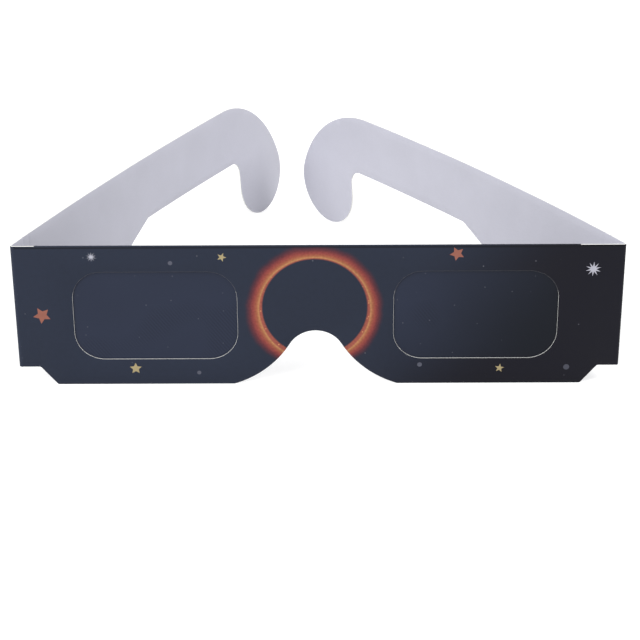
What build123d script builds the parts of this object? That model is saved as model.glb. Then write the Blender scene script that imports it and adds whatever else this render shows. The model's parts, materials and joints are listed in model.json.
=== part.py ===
from build123d import *
import math
import os

# Folding card glasses for watching an eclipse, standing open on a table.
#
# One die-cut blank of printed card makes the front, the panel folded down behind it and
# both temples. Two dark filter sheets lie between front and back panel, held by glue.
# Each crease is a piece of its own, a narrow bent strip, so that the panels can turn.
#
# Lengths are in millimetres, angles in degrees. X runs along the front, +Y from the front
# towards the wearer's ears and +Z up. The origin is the middle of the space the open
# glasses take on the table: half way along X, half way along Y and level with the table.

# Card, filter and glue
card = 0.35
filter_film = 0.15

# Front, as cut from the blank
front_width = 150.0
panel_height = 37.4
end_height = 4.9
end_step = 5.4
foot_slant = 4.1
foot_corner_r = 0.6

# Bridge between the windows, and the nose notch below it: a round crown between two wide
# flanks, which spread past the bridge by the flare on each side
bridge_width = 38.6
nose_flare = 1.1
nose_height = 14.65
nose_crown_r = 7.5
nose_flank_r = 25.0

# Eye windows. They and the nose notch are cut a little to the left of the middle.
window_end_margin = 15.2
window_low = 7.0
window_top_margin = 6.85
window_corner_r = 7.2
cut_shift = -0.7

# Panel folded down behind the front, and what it holds
back_left_gap = 5.9
back_right_gap = 11.1
back_reveal = 0.4
back_end_r = 1.5
film_margin = 3.4
film_corner_r = 2.0
glue_reveal = 0.8

# Side creases: the length of card, each side of the corner, that takes the bend
crease_reach = 1.0

# Temples, measured along the card from the crease
temple_length = 144.5
temple_root_low = 4.9
taper_start = 35.2
taper_end = 68.2
taper_round_r = 1.5
band_width = 17.4
hook_outer_r = 32.6
hook_tip_r = 11.9
hook_inner_r = 4.0
left_angle = 64.8
right_angle = 56.3
left_bow_r = 1120.0
right_bow_r = 715.0

# Pressed lines across each temple, on its inner face
score_places = (5.6, 8.2)
score_r = 0.5
score_depth = 0.08

# How far cutting shapes run past what they cut
overrun = 5.0

half_width = front_width / 2
half_card = card / 2
stack = 2 * card + filter_film
fold_start = panel_height - stack / 2
end_half_span = half_width - end_step
foot_half_span = end_half_span - foot_slant
window_inner = bridge_width / 2
nose_half_width = window_inner + nose_flare
window_outer = half_width - window_end_margin
window_high = panel_height - window_top_margin
back_left = half_width - back_left_gap
back_right = half_width - back_right_gap


def box_face(x_low, x_high, z_low, z_high):
    """A rectangle drawn by its edges, in the plane of a panel."""
    size = Rectangle(x_high - x_low, z_high - z_low)
    return Pos((x_low + x_high) / 2, (z_low + z_high) / 2) * size


def standing_sheet(face, y_front, thickness):
    """A face drawn as (x, z), made a sheet whose front lies at y_front."""
    back_plane = Plane.XZ.offset(-(y_front + thickness))
    return extrude(back_plane * face, thickness)


def rounded(face, points, radius):
    """The same face with the corners nearest to the given points rounded."""
    corners = []
    for point in points:
        corners.append(min(face.vertices(), key=lambda v: (Vector(v) - Vector(*point)).length))
    return fillet(corners, radius)


def bend_radius(turn):
    """Mid-line radius of a crease that turns the card by this angle."""
    return crease_reach / math.tan(math.radians(turn / 2))


def root_angle(chord_angle, bow_r):
    """Angle between the front and a temple where it leaves its crease."""
    return chord_angle + math.degrees(math.asin(temple_length / (2 * bow_r)))


def front_end(chord_angle, bow_r):
    """Distance from the middle to where the flat front ends and a crease starts."""
    return half_width - half_card - bend_radius(180 - root_angle(chord_angle, bow_r))


def flank_centre():
    """Centre of the flank's arc: it touches the crown and ends on the lower edge."""
    crown_z = nose_height - nose_crown_r
    reach = nose_crown_r + nose_flank_r
    span = math.hypot(nose_half_width, crown_z)
    along = (reach**2 - nose_flank_r**2 + span**2) / (2 * span)
    across = math.sqrt(reach**2 - along**2)
    x = (along * nose_half_width + across * crown_z) / span
    z = crown_z + (across * nose_half_width - along * crown_z) / span
    return x, z


def nose_curve():
    """Three arcs that rise from the lower edge, over the nose and down again."""
    crown_z = nose_height - nose_crown_r
    x, z = flank_centre()
    crown_start = math.degrees(math.atan2(z - crown_z, x))
    at_crown = 180 + crown_start
    at_edge = 360 + math.degrees(math.atan2(-z, nose_half_width - x))
    sweep = at_edge - at_crown
    left = CenterArc((cut_shift - x, z), nose_flank_r, 180 - at_edge, sweep)
    crown = CenterArc((cut_shift, crown_z), nose_crown_r, crown_start, 180 - 2 * crown_start)
    right = CenterArc((cut_shift + x, z), nose_flank_r, at_crown, sweep)
    return [left, crown, right]


def front_outline():
    """The front as cut: stepped ends, slanted feet and the nose notch."""
    left_end = -front_end(left_angle, left_bow_r)
    right_end = front_end(right_angle, right_bow_r)
    left_side = Polyline(
        (cut_shift - nose_half_width, 0),
        (-foot_half_span, 0),
        (-end_half_span, end_height),
        (left_end, end_height),
        (left_end, panel_height),
        (-back_left, panel_height),
        (-back_left, fold_start),
        (back_right, fold_start),
    )
    right_side = Polyline(
        (back_right, fold_start),
        (back_right, panel_height),
        (right_end, panel_height),
        (right_end, end_height),
        (end_half_span, end_height),
        (foot_half_span, 0),
        (cut_shift + nose_half_width, 0),
    )
    face = make_face([left_side, right_side, *nose_curve()])
    feet = [(-foot_half_span, 0), (foot_half_span, 0)]
    steps = [(-end_half_span, end_height), (end_half_span, end_height)]
    return rounded(face, feet + steps, foot_corner_r)


def windows():
    """Both eye windows, as one pair of rounded rectangles."""
    width = window_outer - window_inner
    height = window_high - window_low
    middle_x = (window_inner + window_outer) / 2
    middle_z = (window_low + window_high) / 2
    shape = RectangleRounded(width, height, window_corner_r)
    left = Pos(cut_shift - middle_x, middle_z) * shape
    right = Pos(cut_shift + middle_x, middle_z) * shape
    return left, right


def front_panel(outline):
    """The printed front, with both windows."""
    left, right = windows()
    return standing_sheet(outline - left - right, 0, card)


def behind(outline, reveal, end_gap):
    """The front's outline raised by a reveal and ended short of the creases."""
    raised = Pos(0, reveal) * outline
    return raised & box_face(-back_left + end_gap, back_right - end_gap, 0, fold_start)


def back_panel(outline):
    """The panel folded down behind the front, with its own windows."""
    left, right = windows()
    face = rounded(behind(outline, back_reveal, 0), [(back_right, 0)], back_end_r)
    return standing_sheet(face - left - right, card + filter_film, card)


def top_fold():
    """The crease along the top, a half round that joins front and back panel."""
    ring = Circle(stack / 2) - Circle(filter_film / 2)
    upper = ring & Pos(0, stack / 2) * Rectangle(2 * stack, stack)
    profile = Plane.YZ.offset(-back_left) * Pos(stack / 2, fold_start) * upper
    return extrude(profile, back_left + back_right)


def film_face(side):
    """One filter sheet: the window with a margin all round. Side is -1 or 1."""
    width = window_outer - window_inner + 2 * film_margin
    height = window_high - window_low + 2 * film_margin
    middle_x = cut_shift + side * (window_inner + window_outer) / 2
    middle_z = (window_low + window_high) / 2
    return Pos(middle_x, middle_z) * RectangleRounded(width, height, film_corner_r)


def glue_sheet(outline):
    """The glue between the panels, round both filters."""
    face = behind(outline, glue_reveal, back_reveal) - film_face(-1) - film_face(1)
    return standing_sheet(face, card, filter_film)


def temple_outline():
    """A temple laid flat: root, taper, straight band and the hook for the ear."""
    band_low = panel_height - band_width
    tip_s = temple_length - hook_tip_r
    drop = hook_tip_r - (panel_height - hook_outer_r)
    outer_s = tip_s - math.sqrt((hook_outer_r - hook_tip_r) ** 2 - drop**2)
    inner_s = tip_s - hook_tip_r
    meet = math.degrees(math.atan2(drop, tip_s - outer_s))
    lower = Polyline(
        (outer_s, panel_height),
        (-overrun, panel_height),
        (-overrun, temple_root_low),
        (taper_start, temple_root_low),
        (taper_end, band_low),
        (inner_s - hook_inner_r, band_low),
    )
    inner = CenterArc((inner_s - hook_inner_r, band_low - hook_inner_r), hook_inner_r, 0, 90)
    side = Line((inner_s, band_low - hook_inner_r), (inner_s, hook_tip_r))
    tip = CenterArc((tip_s, hook_tip_r), hook_tip_r, 180, 180 + meet)
    outer = CenterArc((outer_s, panel_height - hook_outer_r), hook_outer_r, meet, 90 - meet)
    face = make_face([lower, inner, side, tip, outer])
    return rounded(face, [(taper_start, temple_root_low), (taper_end, band_low)], taper_round_r)


def temple_frame(chord_angle, bow_r):
    """Where a right-hand temple starts, and the centre of its slight outward bow."""
    at_root = math.radians(root_angle(chord_angle, bow_r))
    corner = Vector(front_end(chord_angle, bow_r) + crease_reach, half_card)
    start = corner + Vector(-math.cos(at_root), math.sin(at_root)) * crease_reach
    outward = Vector(math.sin(at_root), math.cos(at_root))
    return start, start - outward * bow_r, 90 - math.degrees(at_root)


def temple(chord_angle, bow_r):
    """A right-hand temple: bowed card, cut to the outline and pressed with score lines."""
    start, centre, first = temple_frame(chord_angle, bow_r)
    sweep = math.degrees((temple_length + overrun) / bow_r)
    outside = CenterArc(centre, bow_r + half_card, first, sweep)
    inside = CenterArc(centre, bow_r - half_card, first, sweep)
    ends = [Line(outside @ 0, inside @ 0), Line(outside @ 1, inside @ 1)]
    plan = make_face([outside, inside, *ends])
    bowed = extrude(Pos(0, 0, -overrun) * plan, panel_height + 2 * overrun)
    along = math.radians(chord_angle)
    chord = Plane(
        origin=start,
        x_dir=(-math.cos(along), math.sin(along), 0),
        z_dir=(math.sin(along), math.cos(along), 0),
    )
    sagitta = temple_length**2 / (8 * bow_r)
    cutter = extrude(chord * temple_outline(), sagitta + overrun, both=True)
    piece = bowed & cutter
    for place in score_places:
        turn = math.radians(first + math.degrees(place / bow_r))
        reach = bow_r - half_card - score_r + score_depth
        spot = centre + Vector(math.cos(turn), math.sin(turn)) * reach
        rod = Pos(spot.X, spot.Y, panel_height / 2) * Cylinder(score_r, 2 * panel_height)
        piece -= rod
    return piece


def side_fold(chord_angle, bow_r):
    """A right-hand crease: a strip of card bent round from the front to the temple."""
    turn = 180 - root_angle(chord_angle, bow_r)
    middle_r = bend_radius(turn)
    centre = (front_end(chord_angle, bow_r), half_card + middle_r)
    outside = CenterArc(centre, middle_r + half_card, -90, turn)
    inside = CenterArc(centre, middle_r - half_card, -90, turn)
    ends = [Line(outside @ 0, inside @ 0), Line(outside @ 1, inside @ 1)]
    plan = make_face([outside, inside, *ends])
    return extrude(Pos(0, 0, end_height) * plan, panel_height - end_height)


def build():
    """Every piece by name, in the frame that the notes above describe."""
    outline = front_outline()
    pieces = {
        "front_panel": front_panel(outline),
        "back_panel": back_panel(outline),
        "top_fold": top_fold(),
        "left_filter": standing_sheet(film_face(-1), card, filter_film),
        "right_filter": standing_sheet(film_face(1), card, filter_film),
        "adhesive_layer": glue_sheet(outline),
        "left_fold": mirror(side_fold(left_angle, left_bow_r), about=Plane.YZ),
        "right_fold": side_fold(right_angle, right_bow_r),
        "left_temple": mirror(temple(left_angle, left_bow_r), about=Plane.YZ),
        "right_temple": temple(right_angle, right_bow_r),
    }
    depth = max(piece.bounding_box().max.Y for piece in pieces.values())
    placed = {}
    for name, piece in pieces.items():
        placed[name] = Pos(0, -depth / 2, 0) * piece
    return placed, depth


parts, depth = build()
os.makedirs("parts", exist_ok=True)
for name, piece in parts.items():
    export_step(piece, f"parts/{name}.step")
print("depth", round(depth, 3))
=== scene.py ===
import json
import math

import bmesh
import bpy
from bpy.props import FloatProperty, FloatVectorProperty, PointerProperty
from mathutils import Matrix, Vector, noise


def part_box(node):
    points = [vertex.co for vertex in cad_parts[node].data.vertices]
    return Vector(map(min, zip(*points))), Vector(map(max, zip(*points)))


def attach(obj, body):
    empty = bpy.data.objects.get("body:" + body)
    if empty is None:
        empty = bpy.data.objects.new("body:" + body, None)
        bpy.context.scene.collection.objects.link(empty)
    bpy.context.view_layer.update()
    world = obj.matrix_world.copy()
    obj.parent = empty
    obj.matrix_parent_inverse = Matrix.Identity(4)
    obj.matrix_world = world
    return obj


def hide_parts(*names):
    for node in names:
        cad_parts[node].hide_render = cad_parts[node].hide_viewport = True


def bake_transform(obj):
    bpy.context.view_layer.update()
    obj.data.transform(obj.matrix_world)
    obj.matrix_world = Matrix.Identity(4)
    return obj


bl_info = {
    "name": "Folding card eclipse glasses",
    "version": (1, 0, 0),
    "blender": (4, 5, 0),
    "location": "View3D > Sidebar > Eclipse glasses",
    "description": "Models the printed card, films, creases and temples of eclipse glasses",
    "category": "Add Mesh",
}

# The model's frame: +X along the front, +Y from the front to the ears, +Z up, in metres.
# A card piece is modelled flat first, as it was cut: X runs along the card, Y through it from
# the printed side to the inside, Z up. Then it is bent into place.

MM = 0.001

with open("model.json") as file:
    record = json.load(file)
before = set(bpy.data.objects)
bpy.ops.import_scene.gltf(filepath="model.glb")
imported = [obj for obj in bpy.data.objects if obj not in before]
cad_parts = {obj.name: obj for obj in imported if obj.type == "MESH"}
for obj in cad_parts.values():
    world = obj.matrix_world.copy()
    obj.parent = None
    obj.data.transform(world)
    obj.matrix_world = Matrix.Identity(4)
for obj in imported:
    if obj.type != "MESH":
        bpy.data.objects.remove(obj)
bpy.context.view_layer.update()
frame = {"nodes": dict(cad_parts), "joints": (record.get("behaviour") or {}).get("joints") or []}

PANEL_LOW, PANEL_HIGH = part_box("front_panel")
BACK_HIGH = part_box("back_panel")[1]
WRAP_LOW, WRAP_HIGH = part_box("top_fold")
CARD = PANEL_HIGH.y - PANEL_LOW.y
STACK = BACK_HIGH.y - PANEL_LOW.y
JOINTS = {joint["name"]: joint for joint in frame["joints"]}

# Places in a card piece's list of materials; the fourth holds the windows' cut edges with painted shade
PRINT, INSIDE, CUT, SHADED_CUT, GOLD, ORANGE, PALE, GREY = range(8)

# Arcs have sides about this long, card bends in facets about this long, edges sharper than
# this angle are shaded sharp, and points closer than this are one
ARC_SIDE = 0.8 * MM
BEND_FACET = 2.5 * MM
SHARP = math.radians(25)
TINY = 0.002 * MM

# A face looks along an axis if its normal has more than this share of it, and is upright to an
# axis if it has less than that one
FACING = 0.5
UPRIGHT = 0.1

# Axes
X, Z = 0, 2

# Sockets of the Mix node when it mixes numbers, and when it mixes colours
MIX_A, MIX_B = 2, 3
MIX_FIRST, MIX_SECOND = 6, 7

# Nearly all values of a noise lie between these
NOISE_SPAN = {"From Min": 0.3, "From Max": 0.7}

# Makes a change start and end gently
GENTLY = {"interpolation_type": "SMOOTHSTEP"}

# At scale 1, the bands of a wave pattern are this far apart
BAND_SPACING = math.pi / 10

# Facets round a crease, and sides of a printed dot
CREASE_FACETS = 14
DOT_SIDES = 24

# Widths of the slow waves in the temples' card and in the films' shape
RIPPLE_WIDTH = 28 * MM
SAG_WIDTH = 22 * MM

# From here on lengths are in millimetres.

# Patterns: the ink's mottle and grain, the ring's grains of light, the board's clouds and grain,
# torn fibres, the films' waves, painted as sheen in their tone, the glue's clouds and the table's grain
INK_MOTTLE, INK_GRAIN = 1.43, 0.3125
LIGHT_GRAIN = 0.526
BOARD_CLOUDS, BOARD_GRAIN = 12.5, 1.25
FIBRES = 0.25
FILM_WAVES = 25.0
GLUE_CLOUDS = 3.03
TABLE_GRAIN = 3.33

# Scattered dots: spacing, radius and strength of the specks on the sky, the sparks inside the
# ring and the dust on the films, and the share of dots that are left out
SPECKS = (13.5, 0.14, 0.3)
SPARKS = (1.4, 0.16, 1.0)
DUST = (7.0, 0.12, 0.22)
DOTS_LEFT_OUT = 0.35

# Roller marks on the films: slant, length and spacing, how high a wave has to be for them to
# start and to be full, and how much finer the rubbed lines are
MARK_SLANT = math.radians(-52)
MARK_LENGTH, MARK_SPACING = 12.0, 0.7
MARK_PATCH = (0.55, 0.66)
RUBBED_FINER = 1.4

# From where to where along the card the sky, the films and the dots darken towards the right, away from
# the painted sheen on the left
SKY_TURN = (0.0, 42.0)
FILM_TURN = (0.0, 50.0)
DOT_TURN = (25.0, 60.0)

# Painted shade beside the top crease, along the pressed line: its middle against the crease's start, how
# far from there the ink is darkest and where that ends, and how strongly the painted shade darkens it
GROOVE_RISE = -0.05
GROOVE_DARK, GROOVE_END = 0.12, 0.3
GROOVE_SHADE_STRENGTH = 0.65

# White light, and the ink that only brings its mottle to the printed sky
WHITE = (1.0, 1.0, 1.0)

# The ring: which of its possible outlines it has, how soft the disc's edge is, where beside the
# bright line the sparks end and are full, and from what share of its reach the glow fades
RING_SEED = 0.0
DISC_EDGE = (-0.2, 0.25)
SPARK_EDGE = (0.1, -0.3)
FADE_START = 0.38

# Motifs printed on the front: ink, place along the card and above the table, radius, points,
# share of the radius where two points meet, turn in degrees
MOTIFS = (
    (PALE, -55.3, 34.6, 1.3, 10, 0.26, 0),
    (PALE, 67.25, 30.95, 1.94, 10, 0.37, 4),
    (GOLD, -23.5, 34.4, 1.2, 5, 0.42, 22),
    (GOLD, -45.8, 4.35, 1.55, 5, 0.48, 0),
    (GOLD, 45.25, 4.15, 1.2, 5, 0.42, 8),
    (ORANGE, -68.3, 19.0, 2.25, 5, 0.5, -28),
    (ORANGE, 33.9, 35.1, 1.85, 5, 0.5, -25),
    (GREY, -36.1, 32.9, 0.55, 0, 1.0, 0),
    (GREY, -29.95, 3.15, 0.52, 0, 1.0, 0),
    (GREY, 25.25, 5.2, 0.6, 0, 1.0, 0),
    (GREY, 61.95, 4.4, 0.75, 0, 1.0, 0),
)

# Lamps: name, place and width
LAMPS = (
    ("key", (-420, -460, 520), 520),
    ("fill", (460, -120, 480), 420),
)

# The table top: half its width, its two tones, and the white that it adds to what a camera sees
TABLE_HALF = 3000
TABLE_TONES = ("#D0D0D0", "#D6D6D6")
TABLE_LIFT = 0.5


def length(name, description, millimetres):
    """A length that a user may change."""
    return FloatProperty(
        name=name, description=description, default=millimetres * MM, subtype="DISTANCE", unit="LENGTH"
    )


def turn(name, description, degrees):
    """An angle that a user may change."""
    return FloatProperty(
        name=name, description=description, default=math.radians(degrees),
        subtype="ANGLE", unit="ROTATION",
    )


def linear(code):
    """The linear colour of an sRGB hex code."""
    channels = [int(code[place:place + 2], 16) / 255 for place in (1, 3, 5)]
    return [c / 12.92 if c <= 0.04045 else ((c + 0.055) / 1.055) ** 2.4 for c in channels]


def colour(name, description, code):
    """A colour that a user may change, given as sRGB hex."""
    return FloatVectorProperty(
        name=name, description=description, default=linear(code), min=0.0, max=1.0, subtype="COLOR"
    )


class EclipseSizes(bpy.types.PropertyGroup):
    """Sizes of the card as it was cut, where the frame doesn't give them."""

    front_width: length("Front width", "From side crease to side crease", 150.0)
    end_height: length("End height", "How far the plain ends of the front stand above the table", 4.9)
    end_step: length("End step", "From a side of the front to where the foot starts", 5.4)
    foot_slant: length("Foot slant", "How far a foot's slanted edge runs inwards", 4.1)
    foot_round: length("Foot rounding", "Radius of the corners of the feet", 0.6)
    bridge: length("Bridge", "Width of card between the eye windows", 38.6)
    nose_flare: length("Nose flare", "How far the nose notch spreads past the bridge", 1.1)
    nose_height: length("Nose height", "Height of the nose notch", 14.65)
    nose_crown: length("Nose crown", "Radius of the top of the notch", 7.5)
    nose_flank: length("Nose flank", "Radius of the sides of the notch", 25.0)
    window_end: length("Window end", "Card between a window and the side of the front", 15.2)
    window_low: length("Window height", "Lower edge of the windows above the table", 7.0)
    window_top: length("Window top", "Card between the windows and the top crease", 6.85)
    window_round: length("Window rounding", "Radius of the windows' corners", 7.2)
    cut_shift: length("Cut shift", "How far windows and notch lie to the right of the middle", -0.7)
    back_reveal: length("Back reveal", "How much shorter the panel behind is", 0.4)
    cut_wear: length("Cut edge wear", "Width of the crushed rim that a die leaves on a cut edge", 0.038)
    film_round: length("Film rounding", "Radius of the corners of the films", 2.0)
    film_sag: length("Film sag", "How far a film stands off a flat plane inside its window", 0.06)
    temple_length: length("Temple length", "From the crease to the end of the hook", 144.5)
    temple_low: length("Temple root", "Lower edge of a temple beside the crease", 4.9)
    taper_start: length("Taper start", "From the crease to where the lower edge starts to rise", 35.2)
    taper_end: length("Taper end", "From the crease to where the lower edge stops rising", 68.2)
    taper_round: length("Taper rounding", "Radius where the taper meets the straight edges", 1.5)
    band: length("Band", "Height of the straight part of a temple", 17.4)
    hook_outer: length("Hook outside", "Radius of the outside of the ear hook", 32.6)
    hook_tip: length("Hook tip", "Radius of the rounded end of the hook", 11.9)
    hook_inner: length("Hook inside", "Radius of the corner between band and hook", 4.0)
    crease_reach: length("Crease reach", "Card that takes the bend, each side of the corner", 1.0)
    left_bow: length("Left bow", "Radius of the left temple's outward bow", 1120.0)
    right_bow: length("Right bow", "Radius of the right temple's outward bow", 715.0)
    left_twist: turn("Left twist", "Lean of the left hook against its crease", 4.2)
    right_twist: turn("Right twist", "Lean of the right hook against its crease", -3.0)
    ripple: length("Ripple", "How far a temple's card stands off a true bend", 0.15)
    score_first: length("First score", "From the crease to the first pressed line", 5.6)
    score_second: length("Second score", "From the crease to the second pressed line", 8.2)
    score_half: length("Score half width", "Half the width of a pressed line", 0.55)
    score_depth: length("Score depth", "Depth of the pressed lines across a temple", 0.11)


class EclipseLooks(bpy.types.PropertyGroup):
    """Inks, card and film, and the sizes of the printed ring."""

    # Painted sheen: this lighter, bluer sky colour stands for sheen on the left of the front; the night
    # ink is the sky without it
    dusk: colour("Dusk ink", "Printed sky on the left and round the bridge", "#262C3B")
    night: colour("Night ink", "Printed sky towards the right end", "#10101A")
    # Painted shade: the darkened ink along the top crease, standing for the crease's shadow
    groove_shade: colour("Groove", "Ink in the groove pressed along the top crease", "#07070D")
    # Painted sheen: the film's palest colour, at its left, stands for sheen on the film
    film_left: colour("Film, left", "Filter film where it is palest", "#242A3B")
    film_right: colour("Film, right", "Filter film where it is darkest", "#070C17")
    board: colour("Board", "Inside of the card", "#C0C0CB")
    core: colour("Core", "Cut edge of the card", "#EDEDE9")
    # Painted shade: the darker core colour of the windows' cut edges and downward rims, where the film
    # behind and the light from above leave them dim
    dusty: colour("Dusty core", "Cut edge inside the windows, dusted with ink", "#747477")
    glue: colour("Glue", "Dried glue between the panels", "#D9D6CB")
    gold: colour("Gold ink", "Small stars", "#A0926E")
    orange: colour("Orange ink", "Large stars", "#8E5A4D")
    pale: colour("Pale ink", "Bursts and specks", "#ABABB6")
    grey: colour("Grey ink", "Dots", "#525460")
    light: colour("Ring's light", "Brightest line of the ring", "#AE7C52")
    inner: colour("Ring's inside", "Between the disc and the bright line", "#924F43")
    near: colour("Ring's near glow", "Glow beside the bright line", "#985941")
    glow: colour("Ring's glow", "Middle of the glow", "#89423C")
    fade: colour("Ring's fade", "Outermost glow", "#6B3235")
    ring_side: length("Ring side", "Middle of the ring, to the right of the middle", -0.86)
    ring_height: length("Ring height", "Middle of the ring above the table", 20.85)
    ring_radius: length("Ring radius", "Inner radius of the printed ring", 13.0)
    line_drop: length("Line drop", "How far the bright line's middle lies below the disc's", 0.45)
    line_stand: length("Line stand-off", "How much wider the bright line's radius is", 0.75)
    ring_glow: length("Ring glow", "How far the glow reaches past the bright line", 3.9)


class EclipseStage(bpy.types.PropertyGroup):
    """Camera and light."""

    camera_side: length("Camera side", "Camera's place to the right", 2.95)
    camera_back: length("Camera distance", "Camera's place in front of the origin", 469.2)
    camera_height: length("Camera height", "Camera's place above the table", 201.8)
    pitch: turn("Pitch", "How far the camera looks down", 24.56)
    yaw: turn("Yaw", "How far the camera turns to the right", -0.36)
    roll: turn("Roll", "How far the camera leans", -0.35)
    lens: FloatProperty(name="Lens", description="Focal length", default=100.8, subtype="DISTANCE_CAMERA")
    room: FloatProperty(name="Room light", description="Light from all round", default=0.62)
    key: FloatProperty(name="Key light", description="Lamp at the front left", default=5.0, unit="POWER")
    fill: FloatProperty(name="Fill light", description="Lamp on the right", default=2.4, unit="POWER")


def chain(bm, corners):
    """A run of edges through corner points, each given as (along, height)."""
    verts = [bm.verts.new((along, 0, height)) for along, height in corners]
    for start, end in zip(verts, verts[1:]):
        bm.edges.new((start, end))
    return verts


def loop(bm, corners):
    """A closed outline through corner points."""
    verts = chain(bm, corners)
    bm.edges.new((verts[-1], verts[0]))
    return verts


def arc(bm, start, centre, sweep):
    """Carries a run of edges on round a centre and returns its new last point."""
    middle = Vector((centre[0], 0, centre[1]))
    steps = math.ceil((start.co - middle).length * abs(sweep) / ARC_SIDE)
    made = bmesh.ops.spin(bm, geom=[start], cent=middle, axis=(0, -1, 0), angle=sweep, steps=steps)
    return next(item for item in made["geom_last"] if isinstance(item, bmesh.types.BMVert))


def round_corner(bm, vert, radius):
    """Rounds one corner of an outline."""
    before, after = [edge.other_vert(vert).co - vert.co for edge in vert.link_edges]
    bend = before.angle(after)
    steps = math.ceil(radius * (math.pi - bend) / ARC_SIDE) + 2
    bmesh.ops.bevel(
        bm, geom=[vert], offset=radius / math.tan(bend / 2), segments=steps, profile=0.5,
        affect="VERTICES", material=-1,
    )


def front_outline(bm, sizes):
    """The front's outer edge: stepped ends, slanted feet, the wrapped top and the nose notch."""
    middle = sizes.cut_shift
    end_half = sizes.front_width / 2 - sizes.end_step
    foot_half = end_half - sizes.foot_slant
    nose_half = sizes.bridge / 2 + sizes.nose_flare
    corners = chain(bm, [
        (middle + nose_half, 0),
        (foot_half, 0),
        (end_half, sizes.end_height),
        (PANEL_HIGH.x, sizes.end_height),
        (PANEL_HIGH.x, PANEL_HIGH.z),
        (WRAP_HIGH.x, PANEL_HIGH.z),
        (WRAP_HIGH.x, WRAP_LOW.z),
        (WRAP_LOW.x, WRAP_LOW.z),
        (WRAP_LOW.x, PANEL_HIGH.z),
        (PANEL_LOW.x, PANEL_HIGH.z),
        (PANEL_LOW.x, sizes.end_height),
        (-end_half, sizes.end_height),
        (-foot_half, 0),
        (middle - nose_half, 0),
    ])
    crown_z = sizes.nose_height - sizes.nose_crown
    reach = sizes.nose_crown + sizes.nose_flank
    span = math.hypot(nose_half, crown_z)
    along = (reach**2 - sizes.nose_flank**2 + span**2) / (2 * span)
    across = math.sqrt(reach**2 - along**2)
    x = (along * nose_half + across * crown_z) / span
    z = crown_z + (across * nose_half - along * crown_z) / span
    rise = math.atan2(z - crown_z, x)
    flank = math.atan2(z, x - nose_half) - rise
    end = arc(bm, corners[-1], (middle - x, z), flank)
    end = arc(bm, end, (middle, crown_z), 2 * rise - math.pi)
    arc(bm, end, (middle + x, z), flank)
    for place in (1, 2, -3, -2):
        round_corner(bm, corners[place], sizes.foot_round)
    bmesh.ops.remove_doubles(bm, verts=bm.verts[:], dist=TINY)


def clip(bm, place, outward):
    """Cuts an outline off at a plane and closes it along the plane."""
    everything = bm.verts[:] + bm.edges[:]
    bmesh.ops.bisect_plane(
        bm, geom=everything, dist=TINY, plane_co=place, plane_no=outward, clear_outer=True
    )
    ends = [vert for vert in bm.verts if len(vert.link_edges) == 1]
    bm.edges.new(ends)


def cut_windows(bm, sizes):
    """Both eye windows, as loops inside the outline."""
    high = PANEL_HIGH.z - sizes.window_top
    for side in (-1, 1):
        inner = sizes.cut_shift + side * sizes.bridge / 2
        outer = sizes.cut_shift + side * (sizes.front_width / 2 - sizes.window_end)
        corners = loop(bm, [
            (inner, sizes.window_low), (outer, sizes.window_low), (outer, high), (inner, high)
        ])
        for corner in corners:
            round_corner(bm, corner, sizes.window_round)


def fill_outline(bm):
    """Makes the outline one face of card, open at the loops inside it."""
    bmesh.ops.triangle_fill(bm, use_beauty=True, edges=bm.edges[:], normal=(0, -1, 0))


def draw_motif(bm, along, height, radius, points, waist, degrees):
    """The outline of a star, a burst or a dot, as a loop inside the outline."""
    place = Matrix.Translation((along * MM, 0, height * MM))
    upright = Matrix.Rotation(math.radians(degrees), 4, "Y") @ Matrix.Rotation(math.pi / 2, 4, "X")
    sides = 2 * points or DOT_SIDES
    made = bmesh.ops.create_circle(bm, radius=radius * MM, segments=sides, matrix=place @ upright)
    if points:
        bmesh.ops.scale(bm, vec=(waist,) * 3, space=place.inverted(), verts=made["verts"][1::2])
    return made["verts"]


def thicken(bm, thickness):
    """Gives filled outlines their thickness, and each side of the card its material."""
    made = bmesh.ops.extrude_face_region(bm, geom=bm.faces[:])
    moved = [item for item in made["geom"] if isinstance(item, bmesh.types.BMVert)]
    bmesh.ops.translate(bm, verts=moved, vec=(0, thickness, 0))
    bmesh.ops.recalc_face_normals(bm, faces=bm.faces[:])
    for face in bm.faces:
        if face.normal.y > FACING:
            face.material_index = INSIDE
        elif face.normal.y > -FACING:
            face.material_index = CUT


def wear_rims(bm, width, joined):
    """Rounds the rims that the die crushed and broke the ink off. A rim is left alone where the
    card goes on in the next piece: joined says whether a point is on such a line."""
    rims = [
        edge for edge in bm.edges
        if len({face.material_index == CUT for face in edge.link_faces}) == 2
        and not all(joined(vert.co) for vert in edge.verts)
    ]
    bmesh.ops.bevel(
        bm, geom=rims, offset=width, segments=2, profile=0.5, affect="EDGES", material=CUT,
        clamp_overlap=False,
    )


def cut_facets(bm, axis, places):
    """Cuts facets across a piece at places along an axis, so that it can bend there."""
    for place in places:
        point, normal = Vector(), Vector()
        point[axis], normal[axis] = place, 1
        bmesh.ops.bisect_plane(
            bm, geom=bm.verts[:] + bm.edges[:] + bm.faces[:], dist=TINY, plane_co=point, plane_no=normal
        )


def even_places(low, high, spacing):
    """Places that divide a length evenly, about so far apart."""
    steps = math.ceil((high - low) / spacing)
    return [low + (high - low) * step / steps for step in range(1, steps)]


def keep_flat_places(bm):
    """Notes each point's place on the flat card, in millimetres, as the piece's UV map."""
    layer = bm.loops.layers.uv.new("Flat")
    for face in bm.faces:
        for corner in face.loops:
            corner[layer].uv = corner.vert.co.xz / MM


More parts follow.
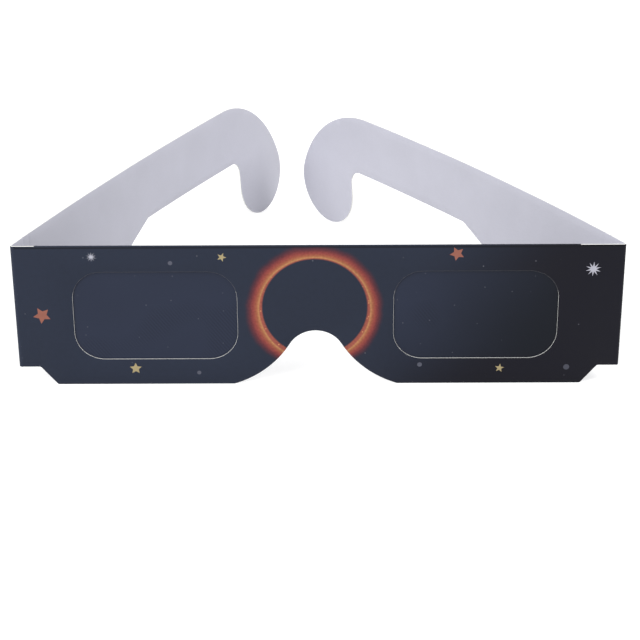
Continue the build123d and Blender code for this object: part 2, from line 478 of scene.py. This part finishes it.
def make_piece(name, bm, materials, node):
    """Makes the object that stands for a node of the model."""
    bmesh.ops.dissolve_degenerate(bm, dist=TINY, edges=bm.edges[:])
    for face in bm.faces:
        face.smooth = True
    for edge in bm.edges:
        edge.smooth = edge.calc_face_angle(math.pi) < SHARP
    mesh = bpy.data.meshes.new(name)
    bm.to_mesh(mesh)
    bm.free()
    for material in materials:
        mesh.materials.append(material)
    piece = bpy.data.objects.new(name, mesh)
    bpy.context.scene.collection.objects.link(piece)
    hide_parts(node)
    return piece


class Side:
    """One side of the glasses: how the card turns at its crease and runs on as a temple."""

    def __init__(self, name, sizes):
        joint = JOINTS[name + "_crease"]
        self.sign = -1 if name == "left" else 1
        # The left crease and temple take the sky colour with the painted sheen, the right ones the darker
        # sky: a lit and a shaded copy of one print
        self.ink = "dusk" if name == "left" else "night"
        self.turn = math.radians(joint["range_deg"][1])
        self.bow = getattr(sizes, name + "_bow")
        self.twist = getattr(sizes, name + "_twist")
        self.sizes = sizes
        self.radius = sizes.crease_reach / math.tan(self.turn / 2)
        self.crease = self.radius * self.turn
        x, y = abs(joint["pos_m"][0]), joint["pos_m"][1]
        self.crease_centre = Vector((x - sizes.crease_reach, y + self.radius, 0))
        outward = Vector((math.sin(self.turn), -math.cos(self.turn), 0))
        self.bow_centre = self.crease_centre + outward * (self.radius - self.bow)

    def place(self, point):
        """Where a point of the flat card lies, its distance measured from the front's end."""
        depth = CARD / 2 - point.y
        if point.x <= self.crease:
            centre, radius = self.crease_centre, self.radius + depth
            angle = point.x / self.radius
        else:
            along = point.x - self.crease
            centre, radius = self.bow_centre, self.bow + depth + self.slack(along, point.z)
            angle = self.turn + along / self.bow
        x = centre.x + radius * math.sin(angle)
        y = centre.y - radius * math.cos(angle)
        return Vector((self.sign * x, y, point.z))

    def slack(self, along, height):
        """How far a temple's card stands off a true bend: lean, ripple and pressed lines."""
        sizes = self.sizes
        share = along / sizes.temple_length
        lean = math.tan(self.twist * share) * (height - PANEL_HIGH.z / 2)
        spot = Vector((along, height, self.sign)) / RIPPLE_WIDTH
        ripple = sizes.ripple * noise.noise(spot) * min(1.0, 4 * share)
        pressed = 0.0
        for score in (sizes.score_first, sizes.score_second):
            away = abs(along - score) / sizes.score_half
            pressed += sizes.score_depth * max(0.0, 1 - away)
        return lean + ripple + pressed


def bend(bm, side):
    """Bends a flat piece into place at one side of the glasses."""
    keep_flat_places(bm)
    for vert in bm.verts:
        vert.co = side.place(vert.co)
    if side.sign < 0:
        bmesh.ops.reverse_faces(bm, faces=bm.faces[:])


def feed(node, inputs):
    """Gives a node's inputs their values, or links them to the outputs that give those."""
    for socket, value in inputs.items():
        if isinstance(value, bpy.types.NodeSocket):
            node.id_data.links.new(value, node.inputs[socket])
        else:
            node.inputs[socket].default_value = value


def add(tree, kind, inputs=None, **settings):
    """Adds a shader node, sets it up, feeds its inputs and returns its first output in use."""
    node = tree.nodes.new("ShaderNode" + kind)
    for name, value in settings.items():
        setattr(node, name, value)
    feed(node, inputs or {})
    return next(output for output in node.outputs if output.enabled)


def new_material(name, even):
    """A material, its nodes and its shader, with the values that are even all over."""
    material = bpy.data.materials.new(name)
    material.use_nodes = True
    shader = material.node_tree.nodes["Principled BSDF"]
    feed(shader, even)
    return material, material.node_tree, shader


def shade(tint, factor=1.0):
    """A colour as a node takes it, made lighter or darker."""
    return (*[min(1.0, factor * channel) for channel in tint], 1.0)


def towards_right(tree, flat, start, end):
    """How far a point lies towards the darker right-hand end, away from the painted sheen on the left,
    from 0 to 1.
    Flat is in millimetres, and the change runs slightly downwards."""
    slant = add(tree, "VectorMath", {0: flat, 1: (1.0, -0.6, 0.0)}, operation="DOT_PRODUCT")
    return add(tree, "MapRange", {"Value": slant, "From Min": start, "From Max": end}, **GENTLY)


def sky_print(tree, flat, looks, ink):
    """The printed sky: slate blue from the left end to past the bridge, then near black. The slate blue
    at the left is a painted sheen on the darker print.
    """
    share = towards_right(tree, flat, *SKY_TURN)
    sky = add(
        tree, "Mix", {0: share, MIX_FIRST: shade(looks.dusk), MIX_SECOND: shade(looks.night)},
        data_type="RGBA",
    )
    # The ink comes in as a mottle round white, and tints the sky
    return add(
        tree, "Mix", {0: 1.0, MIX_FIRST: sky, MIX_SECOND: ink}, data_type="RGBA", blend_type="MULTIPLY"
    )


def painted_groove_shade(tree, flat, looks, ink):
    """Painted shade along the line pressed beside the top crease: the ink there is darkened as the
    crease's shadow.
    """
    height = add(tree, "SeparateXYZ", {0: flat}).node.outputs["Y"]
    middle = WRAP_LOW.z / MM + GROOVE_RISE
    above = add(tree, "Math", {0: height, 1: middle}, operation="SUBTRACT")
    beside = add(tree, "Math", {0: above}, operation="ABSOLUTE")
    groove_shade = add(
        tree, "MapRange",
        {"Value": beside, "From Min": GROOVE_END, "From Max": GROOVE_DARK, "To Max": GROOVE_SHADE_STRENGTH},
        **GENTLY,
    )
    dark = shade(looks.groove_shade)
    return add(tree, "Mix", {0: groove_shade, MIX_FIRST: ink, MIX_SECOND: dark}, data_type="RGBA")


def scattered(tree, flat, spacing, radius, strength):
    """Soft dots strewn over a surface, strong or faint by chance."""
    away = add(tree, "TexVoronoi", {"Vector": flat, "Scale": 1 / spacing}, voronoi_dimensions="2D")
    chance = add(tree, "SeparateColor", {"Color": away.node.outputs["Color"]})
    faintness = add(tree, "MapRange", {"Value": chance, "From Min": DOTS_LEFT_OUT, "To Max": strength})
    dot = add(
        tree, "MapRange",
        {"Value": away, "From Min": 1.5 * radius / spacing, "From Max": 0.5 * radius / spacing},
    )
    return add(tree, "Math", {0: dot, 1: faintness}, operation="MULTIPLY")


def outside_circle(tree, flat, centre, radius):
    """How far points lie outside a circle, and which way from its middle, in millimetres."""
    offset = add(tree, "VectorMath", {0: flat, 1: centre}, operation="SUBTRACT")
    distance = add(tree, "VectorMath", {0: offset}, operation="LENGTH")
    beyond = add(tree, "Math", {0: distance, 1: radius}, operation="SUBTRACT")
    return beyond, add(tree, "VectorMath", {0: offset}, operation="NORMALIZE")


def ring_print(tree, flat, looks, ink):
    """The glowing ring printed round the bridge: a dark disc, a red inside with sparks of light,
    a bright line and a glow that dies away outwards, wider in some places than in others."""
    side, height, radius = looks.ring_side / MM, looks.ring_height / MM, looks.ring_radius / MM
    beyond, heading = outside_circle(tree, flat, (side, height, 0), radius)
    line = (side, height - looks.line_drop / MM, 0)
    past = outside_circle(tree, flat, line, radius + looks.line_stand / MM)[0]
    # Slow changes round the ring make the glow wider or narrower, and rays of about 1 mm fray it
    flare = add(
        tree, "TexNoise", {"Vector": heading, "W": RING_SEED, "Scale": 1.2, "Detail": 5.0},
        noise_dimensions="4D",
    )
    spread = add(tree, "MapRange", {"Value": flare, "To Min": 1.25, "To Max": 0.8, **NOISE_SPAN})
    depth = add(tree, "Math", {0: past, 1: spread}, operation="MULTIPLY")
    reach = looks.ring_glow / MM
    place = add(tree, "MapRange", {"Value": depth, "From Min": -reach / 2, "From Max": reach})
    ramp = add(tree, "ValToRGB", {"Fac": place})
    stops = ramp.node.color_ramp.elements
    stops[0].position, stops[0].color = 0.24, shade(looks.inner)
    stops[1].position, stops[1].color = 1.0, shade(looks.fade, 0.5)
    between = (
        (0.3, looks.inner, 1.1), (0.35, looks.light, 1.0), (0.44, looks.near, 1.0),
        (0.56, looks.glow, 1.0), (0.7, looks.fade, 1.0),
    )
    for position, tint, factor in between:
        stops.new(position).color = shade(tint, factor)
    grains = add(tree, "TexNoise", {"Vector": flat, "Scale": 1 / LIGHT_GRAIN, "Detail": 3.0})
    light = add(tree, "MapRange", {"Value": grains, "To Min": 0.84, "To Max": 1.14, **NOISE_SPAN})
    glow = add(tree, "VectorMath", {0: ramp, "Scale": light}, operation="SCALE")
    # The sparks show in the inside only
    end, full = SPARK_EDGE
    within = add(tree, "MapRange", {"Value": past, "From Min": end, "From Max": full})
    sparked = add(tree, "Math", {0: scattered(tree, flat, *SPARKS), 1: within}, operation="MULTIPLY")
    lit = add(
        tree, "Mix", {0: sparked, MIX_FIRST: glow, MIX_SECOND: shade(looks.light, 1.5)},
        data_type="RGBA",
    )
    fade_start = FADE_START * reach
    fading = add(tree, "MapRange", {"Value": depth, "From Min": reach, "From Max": fade_start}, **GENTLY)
    low, high = DISC_EDGE
    edge = add(tree, "MapRange", {"Value": beyond, "From Min": low, "From Max": high}, **GENTLY)
    cover = add(tree, "Math", {0: fading, 1: edge}, operation="MULTIPLY")
    return add(tree, "Mix", {0: cover, MIX_FIRST: ink, MIX_SECOND: lit}, data_type="RGBA")


def specks(tree, flat, looks, ink):
    """Far, faint stars: small pale specks printed here and there."""
    return add(
        tree, "Mix",
        {0: scattered(tree, flat, *SPECKS), MIX_FIRST: ink, MIX_SECOND: shade(looks.pale)},
        data_type="RGBA",
    )


def dots_with_painted_shade(tree, flat, looks, ink):
    """A thin print over the darker ink below, darker towards the right: painted shade that follows the
    sky's painted sheen.
    """
    return add(
        tree, "Mix",
        {0: towards_right(tree, flat, *DOT_TURN), MIX_FIRST: ink, MIX_SECOND: shade(looks.grey, 0.7)},
        data_type="RGBA",
    )


def satin_ink(name, tint, looks, drawings=()):
    """Offset ink under a satin water varnish: an even colour with a faint mottle from the board
    below, and a soft sheen that the board's grain breaks up."""
    material, tree, shader = new_material(name, {"IOR": 1.45, "Specular IOR Level": 0.16})
    flat = add(tree, "UVMap", uv_map="Flat")
    mottle = add(tree, "TexNoise", {"Vector": flat, "Scale": 1 / INK_MOTTLE, "Detail": 4.0})
    # The grain is coarser than the board's, so that it shows
    grain = add(tree, "TexNoise", {"Vector": flat, "Scale": 1 / INK_GRAIN, "Detail": 2.0})
    ink = add(
        tree, "Mix", {0: mottle, MIX_FIRST: shade(tint, 0.82), MIX_SECOND: shade(tint, 1.18)},
        data_type="RGBA",
    )
    for draw in drawings:
        ink = draw(tree, flat, looks, ink)
    gloss = add(tree, "MapRange", {"Value": mottle, "To Min": 0.4, "To Max": 0.52, **NOISE_SPAN})
    bump = add(tree, "Bump", {"Height": grain, "Strength": 0.15, "Distance": 0.015 * MM})
    feed(shader, {"Base Color": ink, "Roughness": gloss, "Normal": bump})
    return material


def coated_board(name, tint):
    """Clay-coated white board, unprinted: smooth and dull, a little uneven in tone where the
    fibres lie closer, with a faint grain along the sheet."""
    material, tree, shader = new_material(name, {"IOR": 1.45})
    flat = add(tree, "UVMap", uv_map="Flat")
    clouds = add(tree, "TexNoise", {"Vector": flat, "Scale": 1 / BOARD_CLOUDS, "Detail": 3.0})
    # The grain is drawn out 3 to 1 along the sheet
    drawn = add(tree, "Mapping", {"Vector": flat, "Scale": (1 / BOARD_GRAIN, 3 / BOARD_GRAIN, 1.0)})
    grain = add(tree, "TexNoise", {"Vector": drawn, "Scale": 1.0, "Detail": 5.0})
    both = add(tree, "Mix", {0: 0.45, MIX_A: clouds, MIX_B: grain})
    tone = add(
        tree, "Mix", {0: both, MIX_FIRST: shade(tint, 0.9), MIX_SECOND: shade(tint, 1.1)},
        data_type="RGBA",
    )
    dullness = add(tree, "MapRange", {"Value": grain, "To Min": 0.55, "To Max": 0.68, **NOISE_SPAN})
    bump = add(tree, "Bump", {"Height": grain, "Strength": 0.3, "Distance": 0.03 * MM})
    feed(shader, {"Base Color": tone, "Roughness": dullness, "Normal": bump})
    return material


def cut_core(name, tint):
    """Bare fibre where the die cut through the board: white, rough and slightly torn."""
    material, tree, shader = new_material(name, {"Roughness": 0.85, "IOR": 1.4})
    place = add(tree, "TexCoord").node.outputs["Object"]
    fibres = add(tree, "TexNoise", {"Vector": place, "Scale": 1 / (FIBRES * MM), "Detail": 3.0})
    tone = add(
        tree, "Mix", {0: fibres, MIX_FIRST: shade(tint, 0.8), MIX_SECOND: shade(tint, 1.1)},
        data_type="RGBA",
    )
    bump = add(tree, "Bump", {"Height": fibres, "Strength": 0.6, "Distance": 0.05 * MM})
    feed(shader, {"Base Color": tone, "Normal": bump})
    return material


def black_polymer(name, looks):
    """Carbon-filled polymer film: near black, smooth but not a mirror, with the slow waves of a
    film that is held at its edges only, faint roller marks, fine rubbed lines and a little dust."""
    material, tree, shader = new_material(name, {"IOR": 1.5, "Specular IOR Level": 0.15})
    flat = add(tree, "UVMap", uv_map="Flat")
    waves = add(tree, "TexNoise", {"Vector": flat, "Scale": 1 / FILM_WAVES, "Detail": 1.0})
    # Painted sheen: the film is paler and bluer at the left and darkens towards the right
    body = add(
        tree, "Mix",
        {0: towards_right(tree, flat, *FILM_TURN), MIX_FIRST: shade(looks.film_left),
         MIX_SECOND: shade(looks.film_right)},
        data_type="RGBA",
    )
    # Painted sheen: the film's tone grows lighter and darker along its slow waves
    light = add(tree, "MapRange", {"Value": waves, "To Min": 0.84, "To Max": 1.16})
    tone = add(tree, "VectorMath", {0: body, "Scale": light}, operation="SCALE")
    # The roller's marks and the rubbed lines run the same way, the marks in small patches only
    slant = add(
        tree, "Mapping",
        {"Vector": flat, "Rotation": (0, 0, MARK_SLANT), "Scale": (MARK_LENGTH, MARK_SPACING, 1.0)},
        vector_type="TEXTURE",
    )
    marks = add(
        tree, "TexWave", {"Vector": slant, "Scale": BAND_SPACING, "Distortion": 0.4, "Detail": 1.0},
        bands_direction="Y",
    )
    low, high = MARK_PATCH
    patch = add(
        tree, "MapRange", {"Value": waves, "From Min": low, "From Max": high, "To Max": 0.2}, **GENTLY
    )
    rolled = add(tree, "Math", {0: marks, 1: patch}, operation="MULTIPLY")
    marked = add(
        tree, "Mix", {0: rolled, MIX_FIRST: tone, MIX_SECOND: shade(WHITE, 0.0)}, data_type="RGBA"
    )
    dusty = add(
        tree, "Mix",
        {0: scattered(tree, flat, *DUST), MIX_FIRST: marked, MIX_SECOND: shade(looks.pale)},
        data_type="RGBA",
    )
    rubbed = add(tree, "TexNoise", {"Vector": slant, "Scale": RUBBED_FINER, "Detail": 2.0})
    gloss = add(tree, "MapRange", {"Value": rubbed, "To Min": 0.28, "To Max": 0.33, **NOISE_SPAN})
    bump = add(tree, "Bump", {"Height": waves, "Strength": 0.5, "Distance": 1.0 * MM})
    feed(shader, {"Base Color": dusty, "Roughness": gloss, "Normal": bump})
    return material


def dried_glue(name, tint):
    """White dispersion glue, dried: cloudy, as the roller left it, half clear and a little tacky
    in its shine."""
    material, tree, shader = new_material(name, {"IOR": 1.47})
    place = add(tree, "TexCoord").node.outputs["Object"]
    clouds = add(tree, "TexNoise", {"Vector": place, "Scale": 1 / (GLUE_CLOUDS * MM), "Detail": 3.0})
    tone = add(
        tree, "Mix", {0: clouds, MIX_FIRST: shade(tint, 0.8), MIX_SECOND: shade(tint, 1.1)},
        data_type="RGBA",
    )
    gloss = add(tree, "MapRange", {"Value": clouds, "To Min": 0.3, "To Max": 0.6})
    feed(shader, {"Base Color": tone, "Roughness": gloss})
    return material


def card_materials(looks, ink, tint, drawings, motifs=False):
    """Materials of a card piece, in the order of the places above. Shared ones are made once."""
    made = bpy.data.materials.get
    materials = [
        made(ink) or satin_ink(ink, tint, looks, drawings),
        made("coated_board") or coated_board("coated_board", looks.board),
        made("cut_core") or cut_core("cut_core", looks.core),
    ]
    if motifs:
        materials += [
            # The windows' shaded cut edges: the darker core is painted shade
            cut_core("dusty_core", looks.dusty),
            satin_ink("gold_ink", looks.gold, looks),
            satin_ink("orange_ink", looks.orange, looks),
            satin_ink("pale_ink", looks.pale, looks),
            satin_ink("grey_ink", looks.grey, looks, [dots_with_painted_shade]),
        ]
    return materials


class ECLIPSE_OT_front(bpy.types.Operator):
    """Models the printed front with its windows, nose notch and motifs"""

    bl_idname = "eclipse.front"
    bl_label = "Front"

    def execute(self, context):
        sizes = context.scene.eclipse_sizes
        bm = bmesh.new()
        front_outline(bm, sizes)
        cut_windows(bm, sizes)
        motifs = [(ink, draw_motif(bm, *shape)) for ink, *shape in MOTIFS]
        fill_outline(bm)
        for ink, verts in motifs:
            bm.faces.new(verts).material_index = ink
        thicken(bm, CARD)
        wear_rims(bm, sizes.cut_wear, self.joined)
        self.shade_window_edges(bm, sizes)
        keep_flat_places(bm)
        bmesh.ops.translate(bm, verts=bm.verts[:], vec=(0, PANEL_LOW.y, 0))
        drawings = [sky_print, painted_groove_shade, specks, ring_print]
        looks = context.scene.eclipse_looks
        materials = card_materials(looks, "eclipse_print", WHITE, drawings, motifs=True)
        piece = make_piece("front_card", bm, materials, "front_panel")
        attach(piece, "front")
        return {"FINISHED"}

    @staticmethod
    def shade_window_edges(bm, sizes):
        """Paints shade on the windows' cut edges and their downward rims: they take a darker core colour,
        as the dark film behind and the light from above leave them dim.
        """
        margin = sizes.cut_wear
        outer = sizes.front_width / 2 - sizes.window_end
        bm.normal_update()
        for face in bm.faces:
            middle = face.calc_center_median()
            across = abs(middle.x - sizes.cut_shift)
            beside = sizes.bridge / 2 - margin < across < outer + margin
            above = sizes.window_low - margin < middle.z < PANEL_HIGH.z - sizes.window_top + margin
            hidden = abs(face.normal.y) < UPRIGHT or face.normal.z < -UPRIGHT
            if face.material_index == CUT and beside and above and hidden:
                face.material_index = SHADED_CUT

    @staticmethod
    def joined(point):
        """Whether the card goes on past a point: at both side creases and at the top crease."""
        at_side = min(point.x - PANEL_LOW.x, PANEL_HIGH.x - point.x) < TINY
        under_wrap = WRAP_LOW.x - TINY < point.x < WRAP_HIGH.x + TINY
        return at_side or (under_wrap and point.z > WRAP_LOW.z - TINY)


class ECLIPSE_OT_back(bpy.types.Operator):
    """Models the panel folded down behind the front"""

    bl_idname = "eclipse.back"
    bl_label = "Panel behind"

    def execute(self, context):
        sizes = context.scene.eclipse_sizes
        bm = bmesh.new()
        front_outline(bm, sizes)
        bmesh.ops.translate(bm, verts=bm.verts[:], vec=(0, 0, sizes.back_reveal))
        clip(bm, (WRAP_LOW.x, 0, 0), (-1, 0, 0))
        clip(bm, (WRAP_HIGH.x, 0, 0), (1, 0, 0))
        clip(bm, (0, 0, WRAP_LOW.z), (0, 0, 1))
        cut_windows(bm, sizes)
        fill_outline(bm)
        thicken(bm, CARD)
        wear_rims(bm, sizes.cut_wear, lambda point: point.z > WRAP_LOW.z - TINY)
        keep_flat_places(bm)
        bmesh.ops.scale(bm, vec=(1, -1, 1), verts=bm.verts[:])
        bmesh.ops.reverse_faces(bm, faces=bm.faces[:])
        bmesh.ops.translate(bm, verts=bm.verts[:], vec=(0, BACK_HIGH.y, 0))
        looks = context.scene.eclipse_looks
        materials = card_materials(looks, "sky_print", WHITE, [sky_print, specks])
        piece = make_piece("back_card", bm, materials, "back_panel")
        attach(piece, "front")
        return {"FINISHED"}


class ECLIPSE_OT_top_crease(bpy.types.Operator):
    """Models the crease along the top, where the card turns down behind the front"""

    bl_idname = "eclipse.top_crease"
    bl_label = "Top crease"

    def execute(self, context):
        radius = (STACK - CARD) / 2
        bm = bmesh.new()
        low, high = WRAP_LOW.z, WRAP_LOW.z + math.pi * radius
        loop(bm, [(WRAP_LOW.x, low), (WRAP_HIGH.x, low), (WRAP_HIGH.x, high), (WRAP_LOW.x, high)])
        fill_outline(bm)
        thicken(bm, CARD)
        cut_facets(bm, Z, even_places(low, high, (high - low) / CREASE_FACETS))
        keep_flat_places(bm)
        for vert in bm.verts:
            angle = (vert.co.z - low) / radius
            reach = radius + CARD / 2 - vert.co.y
            vert.co.y = PANEL_LOW.y + STACK / 2 - reach * math.cos(angle)
            vert.co.z = low + reach * math.sin(angle)
        drawings = [sky_print, painted_groove_shade, specks]
        materials = card_materials(context.scene.eclipse_looks, "crease_print", WHITE, drawings)
        piece = make_piece("top_crease", bm, materials, "top_fold")
        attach(piece, "front")
        return {"FINISHED"}


class ECLIPSE_OT_films(bpy.types.Operator):
    """Models the two filter films between the panels"""

    bl_idname = "eclipse.films"
    bl_label = "Filter films"

    def execute(self, context):
        sizes = context.scene.eclipse_sizes
        film = black_polymer("black_polymer", context.scene.eclipse_looks)
        for name in ("left", "right"):
            low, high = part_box(name + "_filter")
            bm = bmesh.new()
            corners = loop(bm, [(low.x, low.z), (high.x, low.z), (high.x, high.z), (low.x, high.z)])
            for corner in corners:
                round_corner(bm, corner, sizes.film_round)
            fill_outline(bm)
            thicken(bm, high.y - low.y)
            for axis in (X, Z):
                cut_facets(bm, axis, even_places(low[axis], high[axis], BEND_FACET))
            keep_flat_places(bm)
            bmesh.ops.translate(bm, verts=bm.verts[:], vec=(0, low.y, 0))
            self.sag(bm, low, high, sizes.film_sag)
            for face in bm.faces:
                face.material_index = 0
            piece = make_piece(name + "_film", bm, [film], name + "_filter")
            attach(piece, "front")
        return {"FINISHED"}

    @staticmethod
    def sag(bm, low, high, depth):
        """Lets a film stand off in slow waves, least at its edges, where the panels hold it."""
        middle, half = (low + high) / 2, (high - low) / 2
        for vert in bm.verts:
            across = (vert.co.x - middle.x) / half.x
            up = (vert.co.z - middle.z) / half.z
            free = max(0.0, 1 - across**4) * max(0.0, 1 - up**4)
            vert.co.y += depth * free * noise.noise(vert.co / SAG_WIDTH)


class ECLIPSE_OT_glue(bpy.types.Operator):
    """Finishes the layer of glue between the panels"""

    bl_idname = "eclipse.glue"
    bl_label = "Glue"

    def execute(self, context):
        glue = frame["nodes"]["adhesive_layer"]
        glue.data.materials.clear()
        glue.data.materials.append(dried_glue("dried_glue", context.scene.eclipse_looks.glue))
        return {"FINISHED"}


class ECLIPSE_OT_side_creases(bpy.types.Operator):
    """Models the two creases where the card turns into the temples"""

    bl_idname = "eclipse.side_creases"
    bl_label = "Side creases"

    def execute(self, context):
        sizes, looks = context.scene.eclipse_sizes, context.scene.eclipse_looks
        for name in ("left", "right"):
            side = Side(name, sizes)
            bm = bmesh.new()
            low, high = sizes.end_height, PANEL_HIGH.z
            loop(bm, [(0, low), (side.crease, low), (side.crease, high), (0, high)])
            fill_outline(bm)
            thicken(bm, CARD)
            ends = (0, side.crease)
            wear_rims(bm, sizes.cut_wear, lambda point: min(abs(point.x - end) for end in ends) < TINY)
            cut_facets(bm, X, even_places(0, side.crease, side.crease / CREASE_FACETS))
            bend(bm, side)
            materials = card_materials(looks, side.ink + "_ink", getattr(looks, side.ink), [specks])
            piece = make_piece(name + "_crease", bm, materials, name + "_fold")
            start = side.place(Vector((0, CARD / 2, 0)))
            end = side.place(Vector((side.crease, CARD / 2, 0)))
            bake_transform(piece)
        return {"FINISHED"}


class ECLIPSE_OT_temples(bpy.types.Operator):
    """Models the two temples with their tapers, ear hooks and pressed lines"""

    bl_idname = "eclipse.temples"
    bl_label = "Temples"

    def execute(self, context):
        sizes, looks = context.scene.eclipse_sizes, context.scene.eclipse_looks
        for name in ("left", "right"):
            side = Side(name, sizes)
            bm = bmesh.new()
            self.outline(bm, sizes)
            fill_outline(bm)
            thicken(bm, CARD)
            wear_rims(bm, sizes.cut_wear, lambda point: point.x < TINY)
            places = even_places(0, sizes.temple_length, BEND_FACET)
            for score in (sizes.score_first, sizes.score_second):
                places += [score + sizes.score_half * step / 2 for step in range(-2, 3)]
            cut_facets(bm, X, places)
            cut_facets(bm, Z, even_places(0, PANEL_HIGH.z, BEND_FACET))
            bmesh.ops.translate(bm, verts=bm.verts[:], vec=(side.crease, 0, 0))
            bend(bm, side)
            materials = card_materials(looks, side.ink + "_ink", getattr(looks, side.ink), [specks])
            piece = make_piece(name + "_temple_card", bm, materials, name + "_temple")
            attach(piece, name + "_temple")
        return {"FINISHED"}

    @staticmethod
    def outline(bm, sizes):
        """A temple's outer edge: root, taper, straight band and the hook for the ear."""
        top = PANEL_HIGH.z
        band_low = top - sizes.band
        tip = sizes.temple_length - sizes.hook_tip
        drop = sizes.hook_tip - (top - sizes.hook_outer)
        outer = tip - math.sqrt((sizes.hook_outer - sizes.hook_tip) ** 2 - drop**2)
        inner = tip - sizes.hook_tip
        meet = math.atan2(drop, tip - outer)
        corners = chain(bm, [
            (outer, top),
            (0, top),
            (0, sizes.temple_low),
            (sizes.taper_start, sizes.temple_low),
            (sizes.taper_end, band_low),
            (inner - sizes.hook_inner, band_low),
        ])
        inner_centre = (inner - sizes.hook_inner, band_low - sizes.hook_inner)
        end = arc(bm, corners[-1], inner_centre, -math.pi / 2)
        side_end = bm.verts.new((inner, 0, sizes.hook_tip))
        bm.edges.new((end, side_end))
        end = arc(bm, side_end, (tip, sizes.hook_tip), math.pi + meet)
        arc(bm, end, (outer, top - sizes.hook_outer), math.pi / 2 - meet)
        for place in (3, 4):
            round_corner(bm, corners[place], sizes.taper_round)
        bmesh.ops.remove_doubles(bm, verts=bm.verts[:], dist=TINY)


class ECLIPSE_OT_stage(bpy.types.Operator):
    """Sets up the table, the soft light and the camera"""

    bl_idname = "eclipse.stage"
    bl_label = "Stage"

    def execute(self, context):
        stage = context.scene.eclipse_stage
        self.table(context)
        self.world(context, stage)
        for name, place, width in LAMPS:
            self.lamp(context, name + "_lamp", place, width, getattr(stage, name))
        self.camera(context, stage)
        context.scene.view_settings.view_transform = "Standard"
        return {"FINISHED"}

    @staticmethod
    def shown_rays(tree):
        """1 for rays that show the background: straight to the camera, mirrored or through."""
        rays = add(tree, "LightPath").node.outputs
        mirrored = add(
            tree, "Math", {0: rays["Is Glossy Ray"], 1: rays["Is Transmission Ray"]},
            operation="MAXIMUM",
        )
        return add(tree, "Math", {0: rays["Is Camera Ray"], 1: mirrored}, operation="MAXIMUM")

    def table(self, context):
        """A white table top. It adds white to what the camera sees, and keeps the shadow."""
        material, tree, shader = new_material("white_table_top", {"Roughness": 0.9})
        place = add(tree, "TexCoord").node.outputs["Object"]
        grain = add(tree, "TexNoise", {"Vector": place, "Scale": 1 / (TABLE_GRAIN * MM), "Detail": 2.0})
        first, second = [shade(linear(code)) for code in TABLE_TONES]
        tone = add(tree, "Mix", {0: grain, MIX_FIRST: first, MIX_SECOND: second}, data_type="RGBA")
        lift = add(tree, "Math", {0: self.shown_rays(tree), 1: TABLE_LIFT}, operation="MULTIPLY")
        feed(shader, {"Base Color": tone, "Emission Color": shade(WHITE), "Emission Strength": lift})
        bm = bmesh.new()
        bmesh.ops.create_grid(bm, x_segments=1, y_segments=1, size=TABLE_HALF * MM)
        mesh = bpy.data.meshes.new("table_top")
        bm.to_mesh(mesh)
        bm.free()
        mesh.materials.append(material)
        table = bpy.data.objects.new("table_top", mesh)
        context.scene.collection.objects.link(table)

    def world(self, context, stage):
        """Even light from all round, and white where a ray sees past the table."""
        world = bpy.data.worlds.new("white_room")
        world.use_nodes = True
        context.scene.world = world
        tree = world.node_tree
        strength = add(
            tree, "MapRange", {"Value": self.shown_rays(tree), "To Min": stage.room, "To Max": 1.0}
        )
        feed(tree.nodes["Background"], {"Color": shade(WHITE), "Strength": strength})

    @staticmethod
    def lamp(context, name, place, width, power):
        """A soft square lamp, aimed at the middle of the glasses. Lengths in millimetres."""
        data = bpy.data.lights.new(name, "AREA")
        data.size = width * MM
        data.energy = power
        lamp = bpy.data.objects.new(name, data)
        lamp.location = Vector(place) * MM
        lamp.rotation_mode = "QUATERNION"
        aim = Vector((0, 0, PANEL_HIGH.z / 2)) - lamp.location
        lamp.rotation_quaternion = aim.to_track_quat("-Z", "Y")
        context.scene.collection.objects.link(lamp)

    @staticmethod
    def camera(context, stage):
        """The camera that the photograph was taken with, as nearly as the edges tell."""
        data = bpy.data.cameras.new("camera")
        data.sensor_width = 36.0
        data.lens = stage.lens
        camera = bpy.data.objects.new("camera", data)
        place = Matrix.Translation((stage.camera_side, -stage.camera_back, stage.camera_height))
        heading = Matrix.Rotation(-stage.yaw, 4, "Z") @ Matrix.Rotation(math.pi / 2 - stage.pitch, 4, "X")
        camera.matrix_world = place @ heading @ Matrix.Rotation(stage.roll, 4, "Z")
        context.scene.collection.objects.link(camera)
        context.scene.camera = camera


STEPS = (
    ECLIPSE_OT_front, ECLIPSE_OT_back, ECLIPSE_OT_top_crease, ECLIPSE_OT_films, ECLIPSE_OT_glue,
    ECLIPSE_OT_side_creases, ECLIPSE_OT_temples, ECLIPSE_OT_stage,
)


class ECLIPSE_PT_panel(bpy.types.Panel):
    """Lists the pieces of the eclipse glasses in the sidebar"""

    bl_idname = "ECLIPSE_PT_panel"
    bl_label = "Eclipse glasses"
    bl_space_type = "VIEW_3D"
    bl_region_type = "UI"
    bl_category = "Eclipse glasses"

    def draw(self, context):
        for step in STEPS:
            self.layout.operator(step.bl_idname)


GROUPS = {
    "eclipse_sizes": EclipseSizes,
    "eclipse_looks": EclipseLooks,
    "eclipse_stage": EclipseStage,
}


def register():
    """Makes the groups, operators and panel known to Blender."""
    for cls in (*GROUPS.values(), *STEPS, ECLIPSE_PT_panel):
        bpy.utils.register_class(cls)
    for name, group in GROUPS.items():
        setattr(bpy.types.Scene, name, PointerProperty(type=group))


def unregister():
    """Takes them away again."""
    for name in GROUPS:
        delattr(bpy.types.Scene, name)
    for cls in reversed((*GROUPS.values(), *STEPS, ECLIPSE_PT_panel)):
        bpy.utils.unregister_class(cls)


def main():
    """Builds every piece and the stage."""
    register()
    bpy.ops.eclipse.front()
    bpy.ops.eclipse.back()
    bpy.ops.eclipse.top_crease()
    bpy.ops.eclipse.films()
    bpy.ops.eclipse.glue()
    bpy.ops.eclipse.side_creases()
    bpy.ops.eclipse.temples()
    bpy.ops.eclipse.stage()


if __name__ == "__main__":
    main()
